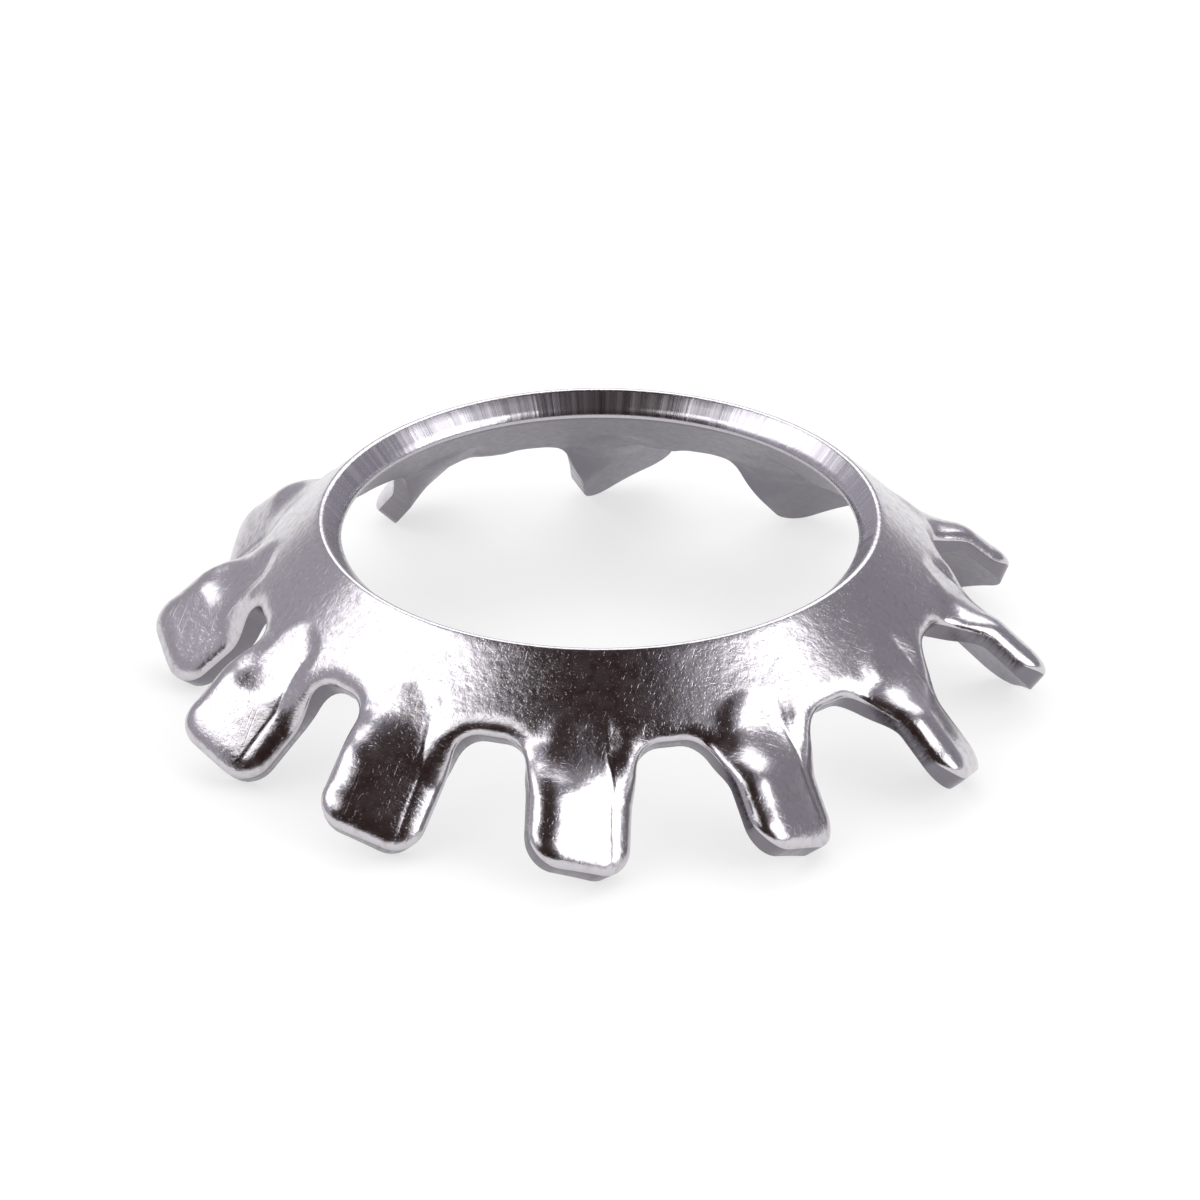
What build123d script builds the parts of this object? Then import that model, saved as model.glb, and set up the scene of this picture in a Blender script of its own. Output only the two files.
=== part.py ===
from build123d import *
import os
from math import cos, radians, sin, sqrt

# Sizes in mm and degrees. "Down the slope" is measured along the cone's side.
BORE_DIAMETER = 6.55     # narrowest width of the hole
SHEET = 0.4              # thickness of the sheet
CONE_SLOPE = 45.0        # how steeply the cone falls away from the bore
RING_WIDTH = 1.24        # down the slope, from the bore's upper edge to the gullets
BORE_LAND = 0.06         # height of the upright land at the bore's narrowest place
BORE_ROLL = 0.08         # rounding of the bore's upper edge
EDGE_BEVEL = 0.07        # bevel of the teeth's and gullets' outer edges
KNUCKLE_WIDTH = 0.28     # bevel of a tooth's raised edge, measured across the tooth
KNUCKLE_DEPTH = 0.17     # the same bevel, measured down its wall
TOOTH_COUNT = 12
TOOTH_LENGTH = 1.67      # down the slope, from the gullets to the tips
TOOTH_WIDTH = 1.42
TOOTH_ROOT = 0.17        # length of tooth that still lies in the cone
GULLET_RADIUS = 0.20     # rounding between a gullet's floor and the teeth beside it
TWIST = 30.0             # turn of each tooth about its own length
TWIST_RUN = 0.45         # length of tooth over which it turns
TWIST_STEPS = 4          # parts that the turning length is lofted in
HINGE_OFFSET = 0.15      # how far the line that a tooth turns about lies off its middle
CROWN = 0.055            # how far a tooth arches across its width
TIP_RADIUS = 0.42        # rounding of a tip's corners

SLOPE = radians(CONE_SLOPE)
LAND_DEPTH = BORE_LAND * sin(SLOPE) * cos(SLOPE)      # how far the land cuts into the corner
RIM_RADIUS = BORE_DIAMETER / 2 - LAND_DEPTH + SHEET * sin(SLOPE)   # bore's upper edge
ROOT_END = RING_WIDTH + TOOTH_ROOT                    # where the teeth begin to turn
TURN_END = ROOT_END + TWIST_RUN                       # where they are fully turned
TIP_END = RING_WIDTH + TOOTH_LENGTH
DOWN_SLOPE = Axis((0, 0, 0), (cos(SLOPE), 0, -sin(SLOPE)))


def on_slope(down, out=0.0):
    """Point at azimuth 0, down the slope from the bore's upper edge and out from the
    cone's outer face."""
    radius = RIM_RADIUS + down * cos(SLOPE) + out * sin(SLOPE)
    return Vector(radius, 0, -down * sin(SLOPE) + out * cos(SLOPE))


def on_axis(down, out=0.0):
    """Point on the washer's axis at the height of a point on the slope."""
    return Vector(0, 0, on_slope(down, out).Z)


def across_tooth(down, turn=0.0):
    """Plane across the tooth at azimuth 0: x along its width, y out of the cone, turned
    about the line that the tooth is twisted about."""
    plane = Plane(origin=on_slope(down), x_dir=(0, 1, 0), z_dir=DOWN_SLOPE.direction)
    hinge = Location((HINGE_OFFSET, -SHEET / 2))
    return Plane(plane.location * hinge * Rotation(0, 0, -turn) * hinge.inverse())


def cone_arch(down):
    """How far the cone itself arches across a tooth's width."""
    bend = on_slope(down).X / sin(SLOPE)
    return bend - sqrt(bend ** 2 - (TOOTH_WIDTH / 2) ** 2)


def ease(part):
    """Smooth step from 0 to 1."""
    return part * part * (3 - 2 * part)


def cone_sheet():
    """The cone as one plain sheet out to the tips. Its bore is cut square to it, with the
    upper edge rounded and the lower corner worn to a narrow upright land."""
    land_in = BORE_LAND * sin(SLOPE)
    land_up = BORE_LAND * cos(SLOPE)
    sides = Polyline(on_slope(BORE_ROLL), on_slope(TIP_END), on_slope(TIP_END, -SHEET),
                     on_slope(land_in, -SHEET), on_slope(0, land_up - SHEET),
                     on_slope(0, -BORE_ROLL))
    upper_edge = TangentArc(sides @ 1, sides @ 0, tangent=sides % 1)
    return Rot(0, 0, 180 / TOOTH_COUNT) * revolve(make_face([sides, upper_edge]), Axis.Z)


def gullet_floor():
    """Solid of revolution that holds all of the sheet between the bore and the gullets."""
    profile = make_face(Polyline(on_axis(0, SHEET), on_slope(0, SHEET),
                                 on_slope(RING_WIDTH, SHEET), on_slope(RING_WIDTH, -2 * SHEET),
                                 on_axis(RING_WIDTH, -2 * SHEET), close=True))
    return revolve(profile, Axis.Z)


def root_block():
    """Upright block, through the sheet, as wide as a tooth and as long as its root."""
    start = RING_WIDTH - SHEET
    face = across_tooth(start) * Rectangle(TOOTH_WIDTH, 4 * SHEET)
    return extrude(face, ROOT_END - start)


def ring():
    """The cone with its bore, ending in round-cornered gullets and the teeth's roots."""
    blocks = PolarLocations(0, TOOTH_COUNT) * root_block()
    cone = cone_sheet() & (gullet_floor() + blocks)
    floors = cone.faces().filter_by(GeomType.CONE).sort_by(SortBy.AREA)[:TOOTH_COUNT]
    cone = fillet(floors.edges().filter_by(GeomType.HYPERBOLA), GULLET_RADIUS)
    sides = cone.faces().filter_by(GeomType.CONE).sort_by(SortBy.AREA)[-2:]
    outer = sides.sort_by(Axis.Z)[-1]
    rim = outer.edges().sort_by(Axis.Z)[-1:]
    seam = outer.edges().filter_by(GeomType.LINE)
    ends = outer.edges().filter_by(GeomType.PARABOLA)
    return chamfer(outer.edges() - rim - seam - ends, EDGE_BEVEL)


def strip(arch, knuckle):
    """Section across a tooth: a strip of sheet arched across its width. Its lowered corner is
    sharp. Its raised one has the plain bevel, grown by a share of the way to the knuckle's."""
    half = TOOTH_WIDTH / 2
    left = -half + EDGE_BEVEL + (KNUCKLE_WIDTH - EDGE_BEVEL) * knuckle
    down = arch + EDGE_BEVEL + (KNUCKLE_DEPTH - EDGE_BEVEL) * knuckle
    outer = ThreePointArc((left, -arch * (left / half) ** 2), (0, 0), (half, -arch))
    inner = ThreePointArc((half, -SHEET - arch), (0, -SHEET), (-half, -SHEET - arch))
    raised = Polyline(inner @ 1, (-half, -down), outer @ 0)
    return make_face([outer, Line(outer @ 1, inner @ 0), inner, raised])


def tip_outline():
    """Block through the sheet that rounds the corners of a tooth's tip."""
    length = TIP_END - TURN_END
    flat = Plane(across_tooth(TURN_END, TWIST).location * Rotation(90, 0, 0))
    outline = Pos(0, length / 2) * Rectangle(TOOTH_WIDTH, length)
    outline = fillet(outline.vertices().group_by(Axis.Y)[-1], TIP_RADIUS)
    return extrude(flat * outline, 2 * SHEET, both=True)


def straight_tooth():
    """The fully turned part of a tooth, with its rounded tip and bevelled outer edges."""
    plane = across_tooth(TURN_END, TWIST)
    tab = extrude(plane * strip(CROWN, 1), TIP_END - TURN_END) & tip_outline()
    face = tab.faces().filter_by(GeomType.CYLINDER).sort_by(Axis((0, 0, 0), plane.y_dir))[-1]
    start = tab.faces().sort_by(DOWN_SLOPE)[0]
    knuckle = face.edges().sort_by(Axis(plane.origin, plane.x_dir))[:1]
    return chamfer(face.edges() - start.edges() - knuckle, EDGE_BEVEL)


def turning_tooth(root, end):
    """The part of a tooth that turns, from the root's end face to the straight part's."""
    sections = [root]
    for step in range(1, TWIST_STEPS):
        part = step / TWIST_STEPS
        section = strip(cone_arch(ROOT_END) * (1 - part) + CROWN * part, part)
        lowered = section.vertices().group_by(Axis.X)[-1].sort_by(Axis.Y)[-1]
        down = ROOT_END + TWIST_RUN * part
        turn = TWIST * ease(part)
        sections.append(across_tooth(down, turn) * chamfer(lowered, EDGE_BEVEL))
    return loft([*sections, end])


def washer():
    """The whole washer in one piece, standing on the tips of its teeth."""
    body = ring()
    straight = straight_tooth()
    cut = Plane(origin=on_slope(ROOT_END), z_dir=DOWN_SLOPE.direction)
    on_cut = [f for f in body.faces().filter_by(GeomType.PLANE)
              if abs(cut.to_local_coords(f.center()).Z) < 1e-6]
    root = ShapeList(on_cut).sort_by(Axis.X)[-1]
    end = straight.faces().sort_by(DOWN_SLOPE)[0]
    tooth = turning_tooth(root, end) + straight
    body += PolarLocations(0, TOOTH_COUNT) * tooth
    return Pos(0, 0, -body.bounding_box().min.Z) * body


os.makedirs("parts", exist_ok=True)
export_step(washer(), "parts/washer.step")
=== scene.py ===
"""Toothed lock washer: the stamped sheet, its tumbled steel, and a plain studio."""

import bpy
import numpy as np
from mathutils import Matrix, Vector


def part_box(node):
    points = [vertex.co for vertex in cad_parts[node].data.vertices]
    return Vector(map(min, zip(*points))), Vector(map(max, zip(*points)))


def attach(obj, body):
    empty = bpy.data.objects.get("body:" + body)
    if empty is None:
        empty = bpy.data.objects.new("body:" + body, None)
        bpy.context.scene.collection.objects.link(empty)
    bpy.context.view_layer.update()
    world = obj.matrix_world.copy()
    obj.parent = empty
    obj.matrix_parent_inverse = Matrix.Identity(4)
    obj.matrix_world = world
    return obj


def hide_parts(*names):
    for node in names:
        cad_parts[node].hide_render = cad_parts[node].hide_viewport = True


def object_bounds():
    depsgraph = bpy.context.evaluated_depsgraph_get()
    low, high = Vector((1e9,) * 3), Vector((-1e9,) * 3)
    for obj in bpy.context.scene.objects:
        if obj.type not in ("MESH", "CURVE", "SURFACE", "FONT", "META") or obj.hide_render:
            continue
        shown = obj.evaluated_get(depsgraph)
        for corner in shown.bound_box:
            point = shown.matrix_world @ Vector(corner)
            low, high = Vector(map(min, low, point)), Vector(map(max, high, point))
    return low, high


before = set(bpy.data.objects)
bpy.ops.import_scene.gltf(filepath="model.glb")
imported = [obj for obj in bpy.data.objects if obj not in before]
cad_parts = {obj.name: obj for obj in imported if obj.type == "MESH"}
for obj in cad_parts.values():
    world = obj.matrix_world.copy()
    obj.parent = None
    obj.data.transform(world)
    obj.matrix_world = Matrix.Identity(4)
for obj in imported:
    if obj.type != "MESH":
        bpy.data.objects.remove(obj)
CAD_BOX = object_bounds()

bl_info = {
    "name": "Toothed Lock Washer",
    "version": (1, 0, 0),
    "blender": (4, 5, 0),
    "location": "3D View > Sidebar > Lock Washer",
    "description": "Builds a countersunk toothed lock washer and a plain studio round it",
    "category": "Add Mesh",
}

MM = 0.001                                    # metres in a millimetre
TIP_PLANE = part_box("washer")[0][2]            # height of the tips that it stands on
LENGTH = {"unit": "LENGTH", "subtype": "DISTANCE", "precision": 6, "min": 0.0}
COLOUR = {"subtype": "COLOR", "size": 3, "min": 0.0, "max": 1.0}
FACE, UNDER, CUT, BORE = 0, 1, 2, 3           # numbers of the finishes on the mesh


def linear(code):
    """Linear colour of an sRGB hex code: a value up to 0.04045 over 12.92, or else the value
    plus 0.055, over 1.055, to the power 2.4."""
    value = np.array([int(code[start:start + 2], 16) for start in (1, 3, 5)]) / 255.0
    bright = ((value + 0.055) / 1.055) ** 2.4
    return tuple(np.where(value <= 0.04045, value / 12.92, bright).tolist())


class WasherShape(bpy.types.PropertyGroup):
    """Sizes of the washer. Lengths on the sheet run down the cone from the bore."""

    bore: bpy.props.FloatProperty(
        name="Bore", description="Narrowest diameter of the hole", default=6.55 * MM, **LENGTH)
    sheet: bpy.props.FloatProperty(
        name="Sheet", description="Thickness of the sheet", default=0.4 * MM, **LENGTH)
    slope: bpy.props.FloatProperty(
        name="Slope", description="How steeply the cone falls", default=np.radians(45.0),
        unit="ROTATION", subtype="ANGLE")
    ring: bpy.props.FloatProperty(
        name="Ring", description="Sheet between the bore and the gullets", default=1.24 * MM,
        **LENGTH)
    teeth: bpy.props.IntProperty(
        name="Teeth", description="How many teeth", default=12, min=3)
    tooth_length: bpy.props.FloatProperty(
        name="Tooth length", description="From the gullets to the tips", default=1.67 * MM,
        **LENGTH)
    tooth_width: bpy.props.FloatProperty(
        name="Tooth width", description="Width of a tooth", default=1.42 * MM, **LENGTH)
    gullet: bpy.props.FloatProperty(
        name="Gullet corner", description="Rounding where a gullet meets a tooth",
        default=0.30 * MM, **LENGTH)
    tip: bpy.props.FloatProperty(
        name="Tip corner", description="Rounding of a tip's corners", default=0.42 * MM,
        **LENGTH)
    roll_width: bpy.props.FloatProperty(
        name="Roll width", description="How far in the outer face's punched edges are rounded",
        default=0.28 * MM, **LENGTH)
    roll_depth: bpy.props.FloatProperty(
        name="Roll depth", description="How far down the outer face's punched edges are rounded",
        default=0.11 * MM, **LENGTH)
    knuckle_width: bpy.props.FloatProperty(
        name="Knuckle width", description="How far in a tooth's raised edge is rounded",
        default=0.42 * MM, **LENGTH)
    knuckle_depth: bpy.props.FloatProperty(
        name="Knuckle depth", description="How far down a tooth's raised edge is rounded",
        default=0.26 * MM, **LENGTH)
    under_edge: bpy.props.FloatProperty(
        name="Under edge", description="Rounding of the inner face's edges",
        default=0.02 * MM, **LENGTH)
    bore_roll: bpy.props.FloatProperty(
        name="Bore roll", description="Rounding of the bore's upper edge",
        default=0.06 * MM, **LENGTH)
    bore_land: bpy.props.FloatProperty(
        name="Bore land", description="Height of the upright land in the bore",
        default=0.06 * MM, **LENGTH)
    twist: bpy.props.FloatProperty(
        name="Twist", description="Turn of each tooth about its length",
        default=np.radians(30.0), unit="ROTATION", subtype="ANGLE")
    twist_start: bpy.props.FloatProperty(
        name="Twist start", description="Length of tooth before it starts to turn",
        default=0.0 * MM, **LENGTH)
    twist_run: bpy.props.FloatProperty(
        name="Twist run", description="Length of tooth over which it turns",
        default=0.80 * MM, **LENGTH)
    hinge: bpy.props.FloatProperty(
        name="Hinge", description="How far the line it turns about lies off its middle",
        default=0.15 * MM, **LENGTH)
    crown: bpy.props.FloatProperty(
        name="Crown", description="How far a tooth arches across its width",
        default=0.055 * MM, **LENGTH)
    swell: bpy.props.FloatProperty(
        name="Swell", description="How far the ring swells and sinks where a tooth pulls it",
        default=0.04 * MM, **LENGTH)
    crease: bpy.props.FloatProperty(
        name="Crease", description="Depth of the crease that the forming tool left",
        default=0.01 * MM, **LENGTH)


class WasherFinish(bpy.types.PropertyGroup):
    """Colours of the steel, two of them darkened in part as painted shade, and of the studio that
    it mirrors.
    """

    steel: bpy.props.FloatVectorProperty(
        name="Steel", description="Tumbled face of the steel", default=linear("#cbc8cd"),
        **COLOUR)
    tarnish: bpy.props.FloatVectorProperty(
        name="Tarnish", description="Faint brown cast in the steel's dull patches",
        default=linear("#b5aba7"), **COLOUR)
    # The inner face's darker grey is partly its rolled matt finish and partly painted shade for the
    # faces that look down.
    inner: bpy.props.FloatVectorProperty(
        name="Inner face", description="Matt inner face of the steel",
        default=linear("#858189"), **COLOUR)
    # The cut edge's darker grey is partly the torn shear and partly painted shade for the walls
    # that face down.
    cut: bpy.props.FloatVectorProperty(
        name="Cut edge", description="Sheared walls of the teeth and gullets",
        default=linear("#7f7b82"), **COLOUR)
    bore_wall: bpy.props.FloatVectorProperty(
        name="Bore wall", description="Burnished wall of the bore", default=linear("#c6c3c9"),
        **COLOUR)
    floor: bpy.props.FloatVectorProperty(
        name="Floor", description="Floor under the washer", default=linear("#f4f4f4"),
        **COLOUR)
    left: bpy.props.FloatVectorProperty(
        name="Studio left", description="Studio at the left and behind",
        default=linear("#b6b3bb"), **COLOUR)
    right: bpy.props.FloatVectorProperty(
        name="Studio right", description="Studio at the right", default=linear("#95929a"),
        **COLOUR)
    overhead: bpy.props.FloatVectorProperty(
        name="Studio ceiling", description="Studio overhead", default=linear("#3a2c2a"),
        **COLOUR)
    flag: bpy.props.FloatVectorProperty(
        name="Flag", description="Dark card round the camera", default=linear("#2a1410"),
        **COLOUR)


def on_slope(shape, down, out):
    """Radius and height of a point down the cone's side from the bore's upper edge and out
    from its outer face: the rim's radius plus down times the slope's cosine plus out times
    its sine, and out times the cosine less down times the sine."""
    sine, cosine = np.sin(shape.slope), np.cos(shape.slope)
    land = shape.bore_land * sine * cosine
    rim = shape.bore / 2 - land + shape.sheet * sine
    return rim + down * cosine + out * sine, out * cosine - down * sine


def ease(part):
    """Smooth step: three times the square less twice the cube, held at 0 and 1."""
    part = np.clip(part, 0.0, 1.0)
    return part * part * (3.0 - 2.0 * part)


def turning(shape, below):
    """How far a tooth has turned, from 0 to 1, by the distance below the gullets: the smooth
    step over the twist's run."""
    return ease((below - shape.twist_start) / shape.twist_run)


def cone_fall(shape, down, across):
    """How far the cone's outer face falls below the flat plane that touches it along a
    tooth's middle: the square of the distance across, times the slope's sine, over twice
    the radius."""
    radius, _ = on_slope(shape, down, 0.0)
    return across * across * np.sin(shape.slope) / (2.0 * radius)


# The patch of ring that a tooth pulls at its root: its half width and its reach up the ring,
# how high up its dome the swell is full, and where below the gullets it fades out.
SWELL_HALF_WIDTH, SWELL_HALF_LENGTH = 0.62 * MM, 0.50 * MM
SWELL_EDGE = 0.8
SWELL_FADE_START, SWELL_FADE_RUN = 0.02 * MM, 0.5 * MM


def root_swell(shape, below, across):
    """How far the twist pulls a tooth's root, and an arched patch of ring above it, up on the
    raised side and down on the other: minus one sine wave across the tooth, eased in over
    the patch's elliptical edge, and out again where the tooth itself turns."""
    upper = np.minimum(below, 0.0) / SWELL_HALF_LENGTH
    patch = 1.0 - (across / SWELL_HALF_WIDTH) ** 2 - upper * upper
    wave = -np.sin(2.0 * np.pi * across / shape.tooth_width)
    fade = 1.0 - ease((below - SWELL_FADE_START) / SWELL_FADE_RUN)
    return shape.swell * wave * ease(patch / SWELL_EDGE) * fade


# The crease down a tooth: its distance off the middle at the gullets and how far it leans
# out for each length down, its half width, where above the gullets it starts, and the length
# over which it sinks in.
CREASE_MIDDLE, CREASE_LEAN, CREASE_HALF_WIDTH = 0.33 * MM, 0.05, 0.022 * MM
CREASE_START, CREASE_RUN = -0.38 * MM, 0.2 * MM


def crease_line(shape, below, across):
    """Depth of the narrow crease down a tooth's lowered side: a bell curve across it, which
    is eased in within the ring and runs to the tip."""
    middle = CREASE_MIDDLE + CREASE_LEAN * below
    bell = np.exp(-((across - middle) / CREASE_HALF_WIDTH) ** 2)
    start = ease((below - CREASE_START) / CREASE_RUN)
    return shape.crease * bell * start


def sheet_face(shape, down, across, creased):
    """Outer face of the sheet over one tooth and its part of the ring, as x, y and z for
    distances down the slope and across the tooth's middle plane. It is the cone, then blends
    to the tooth's arch, swells at the root and, where creased is 1, sinks at the crease,
    and turns about the hinge line by the twist angle, eased in along the tooth."""
    below = down - shape.ring
    turned = turning(shape, below)
    arch = shape.crown * (2.0 * across / shape.tooth_width) ** 2
    height = -cone_fall(shape, down, across) * (1.0 - turned) - arch * turned
    height = height + root_swell(shape, below, across)
    height = height - creased * crease_line(shape, below, across)
    angle = shape.twist * turned
    side, up = across - shape.hinge, height + shape.sheet / 2
    across = shape.hinge + side * np.cos(angle) + up * np.sin(angle)
    out = up * np.cos(angle) - side * np.sin(angle) - shape.sheet / 2
    radius, rise = on_slope(shape, down, out)
    return np.stack([radius, across, rise], -1)


DIFFERENCE_STEP = 0.002 * MM                  # to each side, for a central difference


def through_sheet(shape, down, across):
    """Unit direction out through the sheet: the cross product of the cone's own line down the
    slope and the uncreased face's central difference across the tooth. It doesn't lean along
    the tooth where the tooth turns, so the inner face can't fold."""
    over = (sheet_face(shape, down, across + DIFFERENCE_STEP, 0)
            - sheet_face(shape, down, across - DIFFERENCE_STEP, 0))
    radius, _ = on_slope(shape, down, 0.0)
    azimuth = np.arctan2(across, radius)
    line = np.stack([np.cos(shape.slope) * np.cos(azimuth), np.cos(shape.slope) * np.sin(azimuth),
                     np.full(azimuth.shape, -np.sin(shape.slope))], -1)
    direction = np.cross(line, over)
    return direction / np.linalg.norm(direction, axis=-1, keepdims=True)


def quarter(count):
    """Angles from 0 to a right angle in equal steps, both ends included."""
    return np.linspace(0.0, np.pi / 2, count + 1)


def edge_distance(shape, below, across):
    """Distance from a point of the flat sheet to its punched outline: the gullet's floor,
    the circle in the gullet's corner, the tooth's side, or the rounded tip."""
    wide = np.abs(across)
    corner_side = shape.tooth_width / 2 + shape.gullet
    to_corner = np.hypot(np.minimum(wide - corner_side, 0.0),
                         np.minimum(below - shape.gullet, 0.0)) - shape.gullet
    root = np.where(wide > corner_side, -below, to_corner)
    side = np.where(below > shape.gullet, shape.tooth_width / 2 - wide, root)
    tip_side = shape.tooth_width / 2 - shape.tip
    tip_down = shape.tooth_length - shape.tip
    rounded = shape.tip - np.hypot(np.maximum(wide - tip_side, 0.0),
                                   np.maximum(below - tip_down, 0.0))
    return np.maximum(np.where(below > tip_down, np.minimum(side, rounded), side), 0.0)


def rounded_edge(distance, width, depth):
    """Depth of a rounded edge's face below the flat one, by the distance from the edge: a
    quarter ellipse."""
    inside = np.clip(1.0 - distance / width, 0.0, 1.0)
    return depth * (1.0 - np.sqrt(1.0 - inside * inside))


# How a knuckle wanes towards the tip: the share of it that goes, how far above the tip that
# starts, and the length that it takes.
KNUCKLE_WANE = 0.75
KNUCKLE_WANE_START, KNUCKLE_WANE_RUN = 0.55 * MM, 0.5 * MM


def outer_edge(shape, below, across):
    """Depth of the outer face below the flat one near the punched outline. The rounding is
    narrow, and grows to the knuckle's on a tooth's raised side as the tooth turns. Over the
    middle half of the tooth it is eased back to the narrow one, and it wanes near the tip."""
    half = shape.tooth_width / 2
    wane = ease((below - shape.tooth_length + KNUCKLE_WANE_START) / KNUCKLE_WANE_RUN)
    knuckle = turning(shape, below) * ease(0.5 - across / half) * (1.0 - KNUCKLE_WANE * wane)
    width = shape.roll_width + (shape.knuckle_width - shape.roll_width) * knuckle
    depth = shape.roll_depth + (shape.knuckle_depth - shape.roll_depth) * knuckle
    return rounded_edge(edge_distance(shape, below, across), width, depth)


def inner_edge(shape, below, across):
    """Depth of the inner face's small rounding along the punched outline."""
    return rounded_edge(edge_distance(shape, below, across), shape.under_edge, shape.under_edge)


# How many steps the mesh takes round a knuckle, a roll, a gullet's corner, a tip's corner and
# the bore's edge; across and down a tooth; over half a gullet's floor; and down the ring's
# finer and coarser parts and the bore's wall.
KNUCKLE_STEPS, ROLL_STEPS, CORNER_STEPS, TIP_STEPS, BORE_EDGE_STEPS = 12, 7, 7, 14, 6
ACROSS_STEPS, TOOTH_STEPS, FLOOR_STEPS = 27, 24, 5
FINE_STEPS, COARSE_STEPS, WALL_STEPS = 12, 7, 3
FINE_END = 0.62 * MM                          # down the slope from the bore to the finer part


def tooth_columns(shape):
    """Places across a tooth from -1 to 1, close together at both edges for their rounding."""
    half = shape.tooth_width / 2
    raised = -1.0 + shape.knuckle_width * (1.0 - np.cos(quarter(KNUCKLE_STEPS))) / half
    lowered = 1.0 - shape.roll_width * (1.0 - np.cos(quarter(ROLL_STEPS))) / half
    inner = np.linspace(raised[-1], lowered[-1], ACROSS_STEPS + 1)
    return np.concatenate([raised[:-1], inner, lowered[:-1][::-1]])


def tooth_rows(shape):
    """Distance below the gullets and half width of each row of a tooth: a quarter circle
    out of the gullet, a straight part, and the quarter circle of the tip's corner."""
    flare = quarter(CORNER_STEPS)[1:]
    straight = np.linspace(shape.gullet, shape.tooth_length - shape.tip, TOOTH_STEPS + 1)[1:-1]
    tip = quarter(TIP_STEPS)
    below = np.concatenate([shape.gullet * (1.0 - np.cos(flare)), straight,
                            shape.tooth_length - shape.tip * (1.0 - np.sin(tip))])
    half = shape.tooth_width / 2
    width = np.concatenate([half + shape.gullet * (1.0 - np.sin(flare)),
                            np.full(len(straight), half),
                            half - shape.tip * (1.0 - np.cos(tip))])
    return below, width


def ring_angles(shape):
    """Azimuths of the ring's columns over one tooth's share: the tooth's own columns, and a
    few over half a gullet on each side. The last column belongs to the next share. With
    them, how many columns stand before the tooth's own."""
    radius, _ = on_slope(shape, shape.ring, 0.0)
    root = (shape.tooth_width / 2 + shape.gullet) * tooth_columns(shape)
    angles = np.arcsin(root / radius)
    gullet = np.linspace(angles[-1], np.pi / shape.teeth, FLOOR_STEPS + 1)[1:]
    return np.concatenate([-gullet[::-1], angles, gullet[:-1]]), len(gullet)


def ring_profile(shape):
    """Section of the ring as distances down the slope and depths below the outer face,
    from the gullet's outer edge up to the bore, round its edge and down the inner face.
    With them, how many of its points belong to the outer face and the bore's wall."""
    sine, cosine = np.sin(shape.slope), np.cos(shape.slope)
    land_top = shape.sheet - shape.bore_land * cosine
    face = shape.ring - shape.roll_width * (1.0 - np.cos(quarter(ROLL_STEPS)))
    fine = np.linspace(face[-1], FINE_END, FINE_STEPS + 1)[1:]
    coarse = np.linspace(fine[-1], shape.bore_roll, COARSE_STEPS + 1)[1:]
    roll = quarter(BORE_EDGE_STEPS)[::-1][1:]
    wall = np.linspace(shape.bore_roll, land_top, WALL_STEPS + 1)[1:]
    down = np.concatenate([face, fine, coarse, shape.bore_roll * (1.0 - np.cos(roll)),
                           np.zeros(len(wall))])
    depth = np.concatenate([np.zeros(len(face) + len(fine) + len(coarse)),
                            shape.bore_roll * (1.0 - np.sin(roll)), wall])
    inner = np.concatenate([[shape.bore_land * sine], coarse[::-1][1:], fine[::-1], face[::-1][1:]])
    return (np.concatenate([down, inner]),
            np.concatenate([depth, np.full(len(inner), shape.sheet)]),
            len(down))


def place(shape, down, across, depth, creased):
    """Point of the sheet at a depth below its outer face, straight through it."""
    through = through_sheet(shape, down, across)
    return sheet_face(shape, down, across, creased) - depth[..., None] * through


def ring_part(shape):
    """Grid of the ring over one tooth's share, section points by azimuths. Each point of the
    cone is turned into distances down and across the tooth's middle plane, and placed."""
    angles, _ = ring_angles(shape)
    down, depth, outer = ring_profile(shape)
    rim, _ = on_slope(shape, 0.0, 0.0)
    radius, rise = on_slope(shape, down, 0.0)
    across = radius[:, None] * np.sin(angles)
    plane_down = ((radius[:, None] * np.cos(angles) - rim) * np.cos(shape.slope)
                  - rise[:, None] * np.sin(shape.slope))
    below = down[:, None] - shape.ring
    on_outer = np.arange(len(down))[:, None] < outer
    shift = np.where(on_outer, outer_edge(shape, below, across),
                     -inner_edge(shape, below, across))
    return place(shape, plane_down, across, depth[:, None] + shift, on_outer)


def tooth_part(shape):
    """Outer and inner grids of a tooth, rows by columns, without the row that it shares with
    the ring. Its first rows follow the gullets' circle, which eases out over twice the
    radius of a gullet's corner, and the rest are straight."""
    below, width = tooth_rows(shape)
    across = width[:, None] * tooth_columns(shape)
    rim, _ = on_slope(shape, 0.0, 0.0)
    radius, rise = on_slope(shape, shape.ring, 0.0)
    circle = ((np.sqrt(radius ** 2 - across ** 2) - rim) * np.cos(shape.slope)
              - rise * np.sin(shape.slope))
    start = (circle - shape.ring) * (1.0 - ease(below / (shape.gullet * 2.0)))[:, None]
    down = shape.ring + below[:, None] + start
    outer = outer_edge(shape, below[:, None], across)
    inner = shape.sheet - inner_edge(shape, below[:, None], across)
    return place(shape, down, across, outer, 1), place(shape, down, across, inner, 0)


def strips(grid):
    """Four-cornered faces between neighbouring rows and columns of a grid of point numbers.
    Given a grid of values instead, it gives the value at each of the same corners."""
    return np.stack([grid[:-1, :-1], grid[1:, :-1], grid[1:, 1:], grid[:-1, 1:]],
                    -1).reshape(-1, 4)


def path_length(points):
    """Distance run along a chain of points: the sum of the steps so far."""
    steps = np.linalg.norm(np.diff(points, axis=0), axis=1)
    return np.concatenate([[0.0], np.cumsum(steps)])


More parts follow.
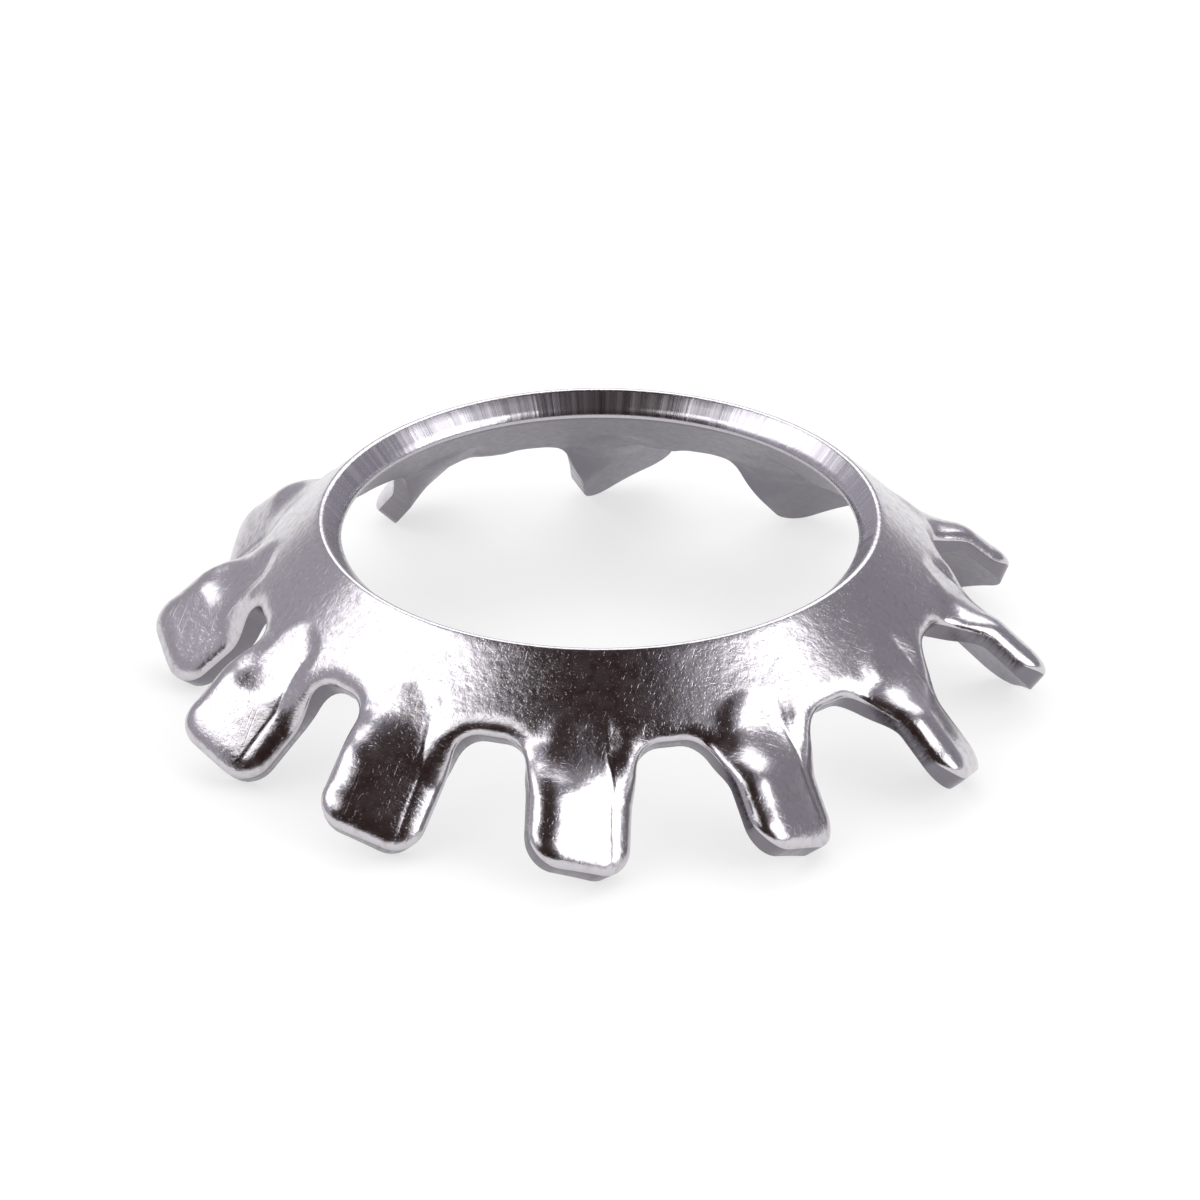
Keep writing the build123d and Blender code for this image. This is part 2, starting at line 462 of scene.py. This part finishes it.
def at_every_tooth(shape, points):
    """Copies of points turned about the axis to each tooth: x by the cosine less y by the
    sine, and x by the sine plus y by the cosine."""
    turns = 2.0 * np.pi * np.arange(shape.teeth) / shape.teeth
    cosine, sine = np.cos(turns)[:, None], np.sin(turns)[:, None]
    x = points[:, 0] * cosine - points[:, 1] * sine
    y = points[:, 0] * sine + points[:, 1] * cosine
    return np.stack([x, y, np.broadcast_to(points[:, 2], x.shape)], -1).reshape(-1, 3)


def washer_mesh(shape):
    """Points and faces of the closed washer, with each face's finish and each corner's
    distance along the cut: the ring's section swept round in one piece, a pair of grids for
    each tooth sewn to it, and walls along the punched outline."""
    ring = ring_part(shape)
    outer, inner = tooth_part(shape)
    _, gullet = ring_angles(shape)
    _, depth, _ = ring_profile(shape)
    rows, columns = ring.shape[:2]
    across = outer.shape[1]
    per_tooth = outer.shape[0] * across
    share = rows * columns + 2 * per_tooth
    blocks = np.concatenate([ring.reshape(-1, 3), outer.reshape(-1, 3), inner.reshape(-1, 3)])
    points = at_every_tooth(shape, blocks)

    # The ring's point numbers, from the inner face's edge up round the bore to the outer
    # face's, with the first column once more at the end.
    first = share * np.arange(shape.teeth)
    ring_index = np.arange(rows * columns).reshape(rows, 1, columns) + first[None, :, None]
    ring_index = ring_index.reshape(rows, -1)
    ring_index = np.concatenate([ring_index, ring_index[:, :1]], 1)[::-1]
    lesser = np.minimum(depth[:-1], depth[1:])[::-1]
    ring_finish = np.where(lesser >= shape.sheet, UNDER,
                           np.where(lesser >= shape.bore_roll, BORE, FACE))
    along = shape.bore / 2 * np.linspace(0.0, 2.0 * np.pi, ring_index.shape[1])
    faces, runs = [strips(ring_index)], [strips(np.tile(along, (rows, 1)))]
    finishes = [np.repeat(ring_finish, len(along) - 1)]

    # Each tooth's outer and inner grids, the chain of points round it, and the gullet's floor
    # between it and the next.
    top_row, low_row = ring_index[-1], ring_index[0]
    for tooth in range(shape.teeth):
        start = first[tooth] + rows * columns
        root = slice(tooth * columns + gullet, tooth * columns + gullet + across)
        top = np.arange(per_tooth).reshape(-1, across) + start
        low = np.concatenate([low_row[None, root], top + per_tooth])
        top = np.concatenate([top_row[None, root], top])
        outline = np.stack([np.concatenate([side[:, 0], side[-1, 1:], side[::-1, -1][1:]])
                            for side in (top, low)])
        gap = np.arange(tooth * columns + gullet + across - 1,
                        (tooth + 1) * columns + gullet + 1) % (shape.teeth * columns)
        floor = np.stack([top_row[gap], low_row[gap]])
        for grid, finish in ((top, FACE), (low[::-1], UNDER), (outline, CUT), (floor, CUT)):
            faces.append(strips(grid))
            finishes.append(np.full(len(faces[-1]), finish))
            runs.append(strips(np.tile(path_length(points[grid[0]]), (len(grid), 1))))
    return points, np.concatenate(faces), np.concatenate(finishes), np.concatenate(runs)


def add(tree, kind, inputs=(), **settings):
    """Adds a node to a tree, makes its settings, and sets or links its inputs by their names
    or numbers."""
    item = tree.nodes.new(kind)
    for name, value in settings.items():
        setattr(item, name, value)
    for name, value in dict(inputs).items():
        if isinstance(value, bpy.types.NodeSocket):
            tree.links.new(value, item.inputs[name])
        else:
            item.inputs[name].default_value = value
    return item


def new_material(name):
    """A material with an empty node tree, and that tree."""
    material = bpy.data.materials.new(name)
    material.use_nodes = True
    material.node_tree.nodes.clear()
    return material, material.node_tree


def opaque(colour):
    """A colour with full alpha, as a node's colour input takes it."""
    return (*colour, 1.0)


def in_millimetres(tree):
    """The piece's own coordinates in millimetres, so that a pattern's scale is how many of it
    there are to the millimetre."""
    metres = add(tree, "ShaderNodeTexCoord")
    return add(tree, "ShaderNodeMapping", {0: metres.outputs["Object"],
                                           "Scale": (1.0 / MM,) * 3}).outputs[0]


def bare_steel(tree, colour, dull, normal):
    """Ends a material in bare steel, a metal with the default IOR."""
    steel = add(tree, "ShaderNodeBsdfPrincipled", {
        "Base Color": colour, "Metallic": 1.0, "Roughness": dull.outputs[0],
        "Normal": normal.outputs[0]})
    add(tree, "ShaderNodeOutputMaterial", {"Surface": steel.outputs[0]})


# The steel's patterns, by how many there are to the millimetre and their heights in mm, and
# the roughness of each surface from its brightest places to its dullest.
WAVES_PER_MM, WAVE_HEIGHT = 1.6, 0.005        # 0.6 mm across, where the chips struck
PEBBLES_PER_MM, PEBBLE_HEIGHT = 9.0, 0.0042   # 0.1 mm across, from the chips' grit
SCRATCH_LENGTH, SCRATCH_WIDTH, SCRATCH_DEPTH = 0.8, 0.03, 0.0008
SCRATCH_TURNS = ((0.0, 0.5, 0.3), (0.0, 0.1, 1.9), (0.0, -0.9, 1.0), (0.0, 0.7, 2.6))
TUMBLED_ROUGHNESS = (0.17, 0.24)
GRAINS_PER_MM, GRAIN_HEIGHT = 12.0, 0.002     # 0.08 mm across, from the rolls
ROLLED_ROUGHNESS = (0.34, 0.44)
LINES_PER_MM, LINE_HEIGHT = 9.0, 0.003        # 0.1 mm apart, and finer ones between
BANDS_PER_MM, BAND_HEIGHT = 1.6, 0.02         # 0.6 mm wide
PUNCHED_ROUGHNESS = (0.2, 0.34)


def tumbled_stainless_steel(finish):
    """Cold-rolled stainless steel, punched, formed and tumbled bright with ceramic chips.
    The tumbling leaves gentle waves about half a millimetre across, a fine pebbling a tenth
    of a millimetre across, and short scratches every way, so its highlights break up."""
    material, tree = new_material("tumbled_stainless_steel")
    spot = in_millimetres(tree)
    waves = add(tree, "ShaderNodeTexNoise", {"Vector": spot, "Scale": WAVES_PER_MM,
                                             "Detail": 1.0})
    pebbles = add(tree, "ShaderNodeTexNoise", {"Vector": spot, "Scale": PEBBLES_PER_MM,
                                               "Detail": 3.0, "Roughness": 0.55})
    normal = add(tree, "ShaderNodeBump", {"Height": waves.outputs[0],
                                          "Distance": WAVE_HEIGHT * MM})
    normal = add(tree, "ShaderNodeBump", {"Height": pebbles.outputs[0],
                                          "Distance": PEBBLE_HEIGHT * MM,
                                          "Normal": normal.outputs[0]})
    # Each set of scratches is noise drawn out along them, of which the highest places show.
    scratch_size = (SCRATCH_LENGTH, SCRATCH_WIDTH, SCRATCH_WIDTH)
    for turn in SCRATCH_TURNS:
        lean = add(tree, "ShaderNodeMapping", {0: spot, "Rotation": turn,
                                               "Scale": scratch_size}, vector_type="TEXTURE")
        streaks = add(tree, "ShaderNodeTexNoise", {"Vector": lean.outputs[0], "Scale": 1.0,
                                                   "Detail": 1.0})
        marks = add(tree, "ShaderNodeMapRange", {"Value": streaks.outputs[0], "From Min": 0.66,
                                                 "From Max": 0.74})
        normal = add(tree, "ShaderNodeBump", {"Height": marks.outputs[0],
                                              "Distance": SCRATCH_DEPTH * MM,
                                              "Normal": normal.outputs[0]}, invert=True)
    dull = add(tree, "ShaderNodeMapRange", {
        "Value": pebbles.outputs[0], "From Min": 0.35, "From Max": 0.65,
        "To Min": TUMBLED_ROUGHNESS[0], "To Max": TUMBLED_ROUGHNESS[1]})
    patches = add(tree, "ShaderNodeMapRange", {"Value": pebbles.outputs[0], "From Min": 0.5,
                                               "From Max": 0.9})
    colour = add(tree, "ShaderNodeMix", {0: patches.outputs[0], 6: opaque(finish.steel),
                                         7: opaque(finish.tarnish)}, data_type="RGBA")
    bare_steel(tree, colour.outputs[2], dull, normal)
    return material


def rolled_stainless_steel(finish):
    """The sheet's inner face, as it was cold-rolled and pickled. The chips hardly reach it, so
    it keeps a fine matt grain and no sharp highlights. Its even grey is darker than the
    tumbled face's partly for that finish and partly as painted shade, since these faces
    look down towards the bright floor."""
    material, tree = new_material("rolled_stainless_steel")
    grain = add(tree, "ShaderNodeTexNoise", {"Vector": in_millimetres(tree),
                                             "Scale": GRAINS_PER_MM, "Detail": 3.0})
    normal = add(tree, "ShaderNodeBump", {"Height": grain.outputs[0],
                                          "Distance": GRAIN_HEIGHT * MM})
    dull = add(tree, "ShaderNodeMapRange", {
        "Value": grain.outputs[0], "From Min": 0.35, "From Max": 0.65,
        "To Min": ROLLED_ROUGHNESS[0], "To Max": ROLLED_ROUGHNESS[1]})
    bare_steel(tree, opaque(finish.inner), dull, normal)
    return material


def punched_wall(name, colour):
    """Steel with the fine lines that a punch leaves through the sheet, up to a tenth of a
    millimetre apart, and broader bands some tenths of one wide, which throw light to
    different sides and so look bright and dark in turn. Both follow the distance along the
    cut, which is in metres."""
    material, tree = new_material(name)
    cut = add(tree, "ShaderNodeAttribute", attribute_name="cut_run").outputs["Fac"]
    lines = add(tree, "ShaderNodeTexNoise", {"W": cut, "Scale": LINES_PER_MM / MM,
                                             "Detail": 3.0, "Roughness": 0.65},
                noise_dimensions="1D")
    bands = add(tree, "ShaderNodeTexNoise", {"W": cut, "Scale": BANDS_PER_MM / MM,
                                             "Detail": 1.0}, noise_dimensions="1D")
    normal = add(tree, "ShaderNodeBump", {"Height": bands.outputs[0],
                                          "Distance": BAND_HEIGHT * MM})
    normal = add(tree, "ShaderNodeBump", {"Height": lines.outputs[0],
                                          "Distance": LINE_HEIGHT * MM,
                                          "Normal": normal.outputs[0]})
    dull = add(tree, "ShaderNodeMapRange", {
        "Value": lines.outputs[0], "From Min": 0.3, "From Max": 0.7,
        "To Min": PUNCHED_ROUGHNESS[0], "To Max": PUNCHED_ROUGHNESS[1]})
    bare_steel(tree, opaque(colour), dull, normal)
    return material


def sheared_stainless_steel(finish):
    """The walls of the teeth and gullets, where the sheet was blanked out. They tore more than
    they were cut, and their darker grey is partly that rough tear and partly painted shade,
    since many of them face down towards the bright floor."""
    return punched_wall("sheared_stainless_steel", finish.cut)


def burnished_stainless_steel(finish):
    """The bore's wall, which the close-fitting punch rubbed nearly as bright as the face."""
    return punched_wall("burnished_stainless_steel", finish.bore_wall)


SHARP_ANGLE = 50.0                            # degrees between faces, past which they meet sharply


class WASHER_OT_sheet(bpy.types.Operator):
    """Builds the washer's sheet in place of the plain solid"""

    bl_idname = "lock_washer.sheet"
    bl_label = "Washer"

    def execute(self, context):
        shape, finish = context.scene.lock_washer_shape, context.scene.lock_washer_finish
        points, faces, finishes, runs = washer_mesh(shape)
        points[:, 2] += TIP_PLANE - points[:, 2].min()
        mesh = bpy.data.meshes.new("washer_sheet")
        mesh.from_pydata(points, [], faces)
        mesh.polygons.foreach_set("material_index", finishes)
        mesh.attributes.new("cut_run", "FLOAT", "CORNER").data.foreach_set(
            "value", runs.astype(np.float32).ravel())
        mesh.polygons.foreach_set("use_smooth", np.ones(len(mesh.polygons), bool))
        mesh.set_sharp_from_angle(angle=np.radians(SHARP_ANGLE))
        # In the order of the finishes' numbers: FACE, UNDER, CUT and BORE.
        for steel in (tumbled_stainless_steel, rolled_stainless_steel, sheared_stainless_steel,
                      burnished_stainless_steel):
            mesh.materials.append(steel(finish))
        if mesh.validate():
            raise RuntimeError("the washer's mesh has faces that don't hold")
        piece = bpy.data.objects.new("washer_sheet", mesh)
        context.scene.collection.objects.link(piece)
        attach(piece, "root")
        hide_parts("washer")
        return {"FINISHED"}


# The studio stands on a hemisphere round the washer. Azimuth 0 faces the camera's side and
# grows to the right; angles are in degrees and lengths in metres.
STUDIO_RADIUS = 0.4
CAMERA_AZIMUTH, CAMERA_ELEVATION = 3.1, 28.0
CAMERA_LENS = 600.0                           # mm, on a sensor 36 mm wide
FRAME_WIDTH = 15.2 * MM                       # what the view takes in at the washer

# Each lamp's name, azimuth, elevation, width and height as angles, and radiance.
LAMPS = (
    ("right_lamp", 70.0, 29.0, 42.0, 42.0, 2.6),
    ("left_lamp", -87.0, 41.0, 50.0, 26.0, 1.8),
    ("rear_lamp", 175.0, 48.0, 60.0, 44.0, 1.8),
    ("front_lamp", -46.0, 44.0, 26.0, 16.0, 1.6),
)
EVEN_LIGHT = 0.68                             # radiance from every side, on top of the lamps

# The dark card: its place, the width of its soft edge, and its distance and mesh.
FLAG_AZIMUTHS, FLAG_ELEVATIONS, FLAG_EDGE = (-55.0, 46.0), (-8.0, 76.0), 14.0
FLAG_RADIUS, FLAG_COLUMNS, FLAG_ROWS = 0.5, 41, 31

# The way to the right wall's middle, and the dot products with it between which that wall's
# colour comes in. Then the ceiling's middle and dot products, 30 to 18 degrees off it.
RIGHT_WALL, WALL_EDGE = (0.85, -0.4, 0.0), (-0.6, 0.6)
CEILING_AZIMUTH, CEILING_ELEVATION, CEILING_EDGE = -12.0, 80.0, (0.87, 0.95)

FLOOR_REACH = 1.2                             # from the middle to each side
FLOOR_NEAR, FLOOR_FAR = 0.035, 0.12           # where the floor's white starts and ends to fade
FLOOR_LIFT = 0.65                             # share of plain white in what is seen of it
WHITE = (1.0, 1.0, 1.0, 1.0)


def towards(azimuth, elevation):
    """Unit vector to a place in the studio: the sine and minus the cosine of the azimuth,
    times the cosine of the elevation, and the elevation's sine."""
    turn, rise = np.radians(azimuth), np.radians(elevation)
    return np.stack([np.sin(turn) * np.cos(rise), -np.cos(turn) * np.cos(rise),
                     np.sin(rise)], -1)


def face_washer(thing, azimuth, elevation, distance):
    """Puts a lamp or camera in the studio so that it looks at the washer's middle."""
    direction = Vector(towards(azimuth, elevation))
    thing.location = (Vector(CAD_BOX[0]) + Vector(CAD_BOX[1])) / 2 + direction * distance
    thing.rotation_euler = direction.to_track_quat("Z", "Y").to_euler()


def softbox(name, azimuth, elevation, width, height, radiance):
    """A rectangular lamp as wide and high as two angles: each side is twice the distance
    times the tangent of half the angle. Its power is its radiance times its area times pi."""
    lamp = bpy.data.lights.new(name, "AREA")
    lamp.shape = "RECTANGLE"
    lamp.size = 2 * STUDIO_RADIUS * np.tan(np.radians(width / 2))
    lamp.size_y = 2 * STUDIO_RADIUS * np.tan(np.radians(height / 2))
    lamp.energy = radiance * lamp.size * lamp.size_y * np.pi
    thing = bpy.data.objects.new(name, lamp)
    thing.visible_camera = False
    face_washer(thing, azimuth, elevation, STUDIO_RADIUS)
    bpy.context.scene.collection.objects.link(thing)


def front_flag(finish):
    """A dark curved card on a hemisphere outside the lamps', seen only in the steel. It thins
    out towards its edges: its cover is the eased distance from the nearest one."""
    (left, right), (low, high) = FLAG_AZIMUTHS, FLAG_ELEVATIONS
    turn, rise = np.meshgrid(np.linspace(left, right, FLAG_COLUMNS),
                             np.linspace(low, high, FLAG_ROWS))
    points = towards(turn, rise) * FLAG_RADIUS
    inset = np.minimum(np.minimum(turn - left, right - turn),
                       np.minimum(rise - low, high - rise))
    mesh = bpy.data.meshes.new("front_flag")
    mesh.from_pydata(points.reshape(-1, 3), [], strips(np.arange(turn.size).reshape(turn.shape)))
    mesh.attributes.new("card_cover", "FLOAT", "POINT").data.foreach_set(
        "value", ease(inset / FLAG_EDGE).astype(np.float32).ravel())
    material, tree = new_material("black_flock_card")
    cover = add(tree, "ShaderNodeAttribute", attribute_name="card_cover")
    clear = add(tree, "ShaderNodeBsdfTransparent")
    dark = add(tree, "ShaderNodeEmission", {"Color": opaque(finish.flag)})
    card = add(tree, "ShaderNodeMixShader", {0: cover.outputs["Fac"], 1: clear.outputs[0],
                                             2: dark.outputs[0]})
    add(tree, "ShaderNodeOutputMaterial", {"Surface": card.outputs[0]})
    mesh.materials.append(material)
    thing = bpy.data.objects.new("front_flag", mesh)
    for ray in ("camera", "diffuse", "transmission", "shadow"):
        setattr(thing, "visible_" + ray, False)
    bpy.context.scene.collection.objects.link(thing)


def shown_to_eye(tree):
    """1 on camera, glossy and transmission rays, and 0 on the rest."""
    path = add(tree, "ShaderNodeLightPath")
    seen = add(tree, "ShaderNodeMath", {0: path.outputs["Is Camera Ray"],
                                        1: path.outputs["Is Glossy Ray"]}, operation="MAXIMUM")
    return add(tree, "ShaderNodeMath", {0: seen.outputs[0],
                                        1: path.outputs["Is Transmission Ray"]},
               operation="MAXIMUM").outputs[0]


def studio_colour(tree, finish, direction):
    """Colour of the studio by direction: the left and back one's, with the right wall's and
    then the ceiling's laid over it. Each comes in by the smooth step, between the ends of its
    edge, of the direction's dot product with the way to its middle."""
    ceiling = towards(CEILING_AZIMUTH, CEILING_ELEVATION)
    colour = opaque(finish.left)
    for middle, (start, end), laid in ((RIGHT_WALL, WALL_EDGE, finish.right),
                                       (ceiling, CEILING_EDGE, finish.overhead)):
        near = add(tree, "ShaderNodeVectorMath", {0: direction, 1: middle},
                   operation="DOT_PRODUCT")
        near = add(tree, "ShaderNodeMapRange", {"Value": near.outputs["Value"],
                                                "From Min": start, "From Max": end},
                   interpolation_type="SMOOTHSTEP")
        colour = add(tree, "ShaderNodeMix", {0: near.outputs[0], 6: colour, 7: opaque(laid)},
                     data_type="RGBA").outputs[2]
    return colour


def studio_floor(finish):
    """A plain floor of matt white card that keeps the washer's shadow. Under and round the
    washer it is white, and far off it fades into the studio's walls. What the eye and the
    steel see of it is lifted towards plain white, so its shadow is faint."""
    mesh = bpy.data.meshes.new("floor")
    signs = ((-1, -1), (1, -1), (1, 1), (-1, 1))
    mesh.from_pydata([(x * FLOOR_REACH, y * FLOOR_REACH, TIP_PLANE) for x, y in signs], [],
                     [(0, 1, 2, 3)])
    material, tree = new_material("white_card_floor")
    spot = add(tree, "ShaderNodeTexCoord").outputs["Object"]
    away = add(tree, "ShaderNodeVectorMath", {0: spot}, operation="LENGTH")
    far = add(tree, "ShaderNodeMapRange", {"Value": away.outputs["Value"],
                                           "From Min": FLOOR_NEAR, "From Max": FLOOR_FAR},
              interpolation_type="SMOOTHSTEP")
    outward = add(tree, "ShaderNodeVectorMath", {0: spot}, operation="NORMALIZE")
    walls = studio_colour(tree, finish, outward.outputs[0])
    white = add(tree, "ShaderNodeBsdfDiffuse", {"Color": opaque(finish.floor)})
    lift = add(tree, "ShaderNodeEmission", {"Color": WHITE})
    lifted = add(tree, "ShaderNodeMixShader", {0: FLOOR_LIFT, 1: white.outputs[0],
                                               2: lift.outputs[0]})
    wall = add(tree, "ShaderNodeEmission", {"Color": walls})
    seen = add(tree, "ShaderNodeMixShader", {0: far.outputs[0], 1: lifted.outputs[0],
                                             2: wall.outputs[0]})
    both = add(tree, "ShaderNodeMixShader", {0: shown_to_eye(tree), 1: white.outputs[0],
                                             2: seen.outputs[0]})
    add(tree, "ShaderNodeOutputMaterial", {"Surface": both.outputs[0]})
    mesh.materials.append(material)
    floor = bpy.data.objects.new("floor", mesh)
    bpy.context.scene.collection.objects.link(floor)


def studio_world(finish):
    """The studio's walls for the eye and the steel, and a plain even light for the rest."""
    world = bpy.data.worlds.new("studio")
    world.use_nodes = True
    tree = world.node_tree
    tree.nodes.clear()
    direction = add(tree, "ShaderNodeTexCoord").outputs["Generated"]
    walls = add(tree, "ShaderNodeBackground", {"Color": studio_colour(tree, finish, direction)})
    even = add(tree, "ShaderNodeBackground", {"Color": WHITE, "Strength": EVEN_LIGHT})
    both = add(tree, "ShaderNodeMixShader", {0: shown_to_eye(tree), 1: even.outputs[0],
                                             2: walls.outputs[0]})
    add(tree, "ShaderNodeOutputWorld", {"Surface": both.outputs[0]})
    bpy.context.scene.world = world


class WASHER_OT_studio(bpy.types.Operator):
    """Builds the floor, the walls, the lamps, the dark card and the camera"""

    bl_idname = "lock_washer.studio"
    bl_label = "Studio"

    def execute(self, context):
        finish = context.scene.lock_washer_finish
        studio_floor(finish)
        studio_world(finish)
        for lamp in LAMPS:
            softbox(*lamp)
        front_flag(finish)
        camera = bpy.data.objects.new("camera", bpy.data.cameras.new("camera"))
        camera.data.lens = CAMERA_LENS
        distance = FRAME_WIDTH * CAMERA_LENS / camera.data.sensor_width
        face_washer(camera, CAMERA_AZIMUTH, CAMERA_ELEVATION, distance)
        context.scene.collection.objects.link(camera)
        context.scene.camera = camera
        context.scene.view_settings.view_transform = "Standard"
        return {"FINISHED"}


class WASHER_PT_panel(bpy.types.Panel):
    """Lists the washer's and the studio's operators, sizes and colours"""

    bl_label = "Lock Washer"
    bl_idname = "WASHER_PT_panel"
    bl_space_type = "VIEW_3D"
    bl_region_type = "UI"
    bl_category = "Lock Washer"

    def draw(self, context):
        for operator in OPERATORS:
            self.layout.operator(operator.bl_idname)
        for group in (context.scene.lock_washer_shape, context.scene.lock_washer_finish):
            box = self.layout.box()
            for name in group.bl_rna.properties.keys():
                if name not in ("rna_type", "name"):
                    box.prop(group, name)


OPERATORS = (WASHER_OT_sheet, WASHER_OT_studio)
CLASSES = (WasherShape, WasherFinish, *OPERATORS, WASHER_PT_panel)


def register():
    """Makes the classes known, and hangs the sizes and colours on the scene."""
    for item in CLASSES:
        bpy.utils.register_class(item)
    bpy.types.Scene.lock_washer_shape = bpy.props.PointerProperty(type=WasherShape)
    bpy.types.Scene.lock_washer_finish = bpy.props.PointerProperty(type=WasherFinish)


def unregister():
    """Undoes what register does, in reverse."""
    del bpy.types.Scene.lock_washer_finish
    del bpy.types.Scene.lock_washer_shape
    for item in reversed(CLASSES):
        bpy.utils.unregister_class(item)


def main():
    """Builds the washer and its studio."""
    register()
    bpy.ops.lock_washer.sheet()
    bpy.ops.lock_washer.studio()


if __name__ == "__main__":
    main()
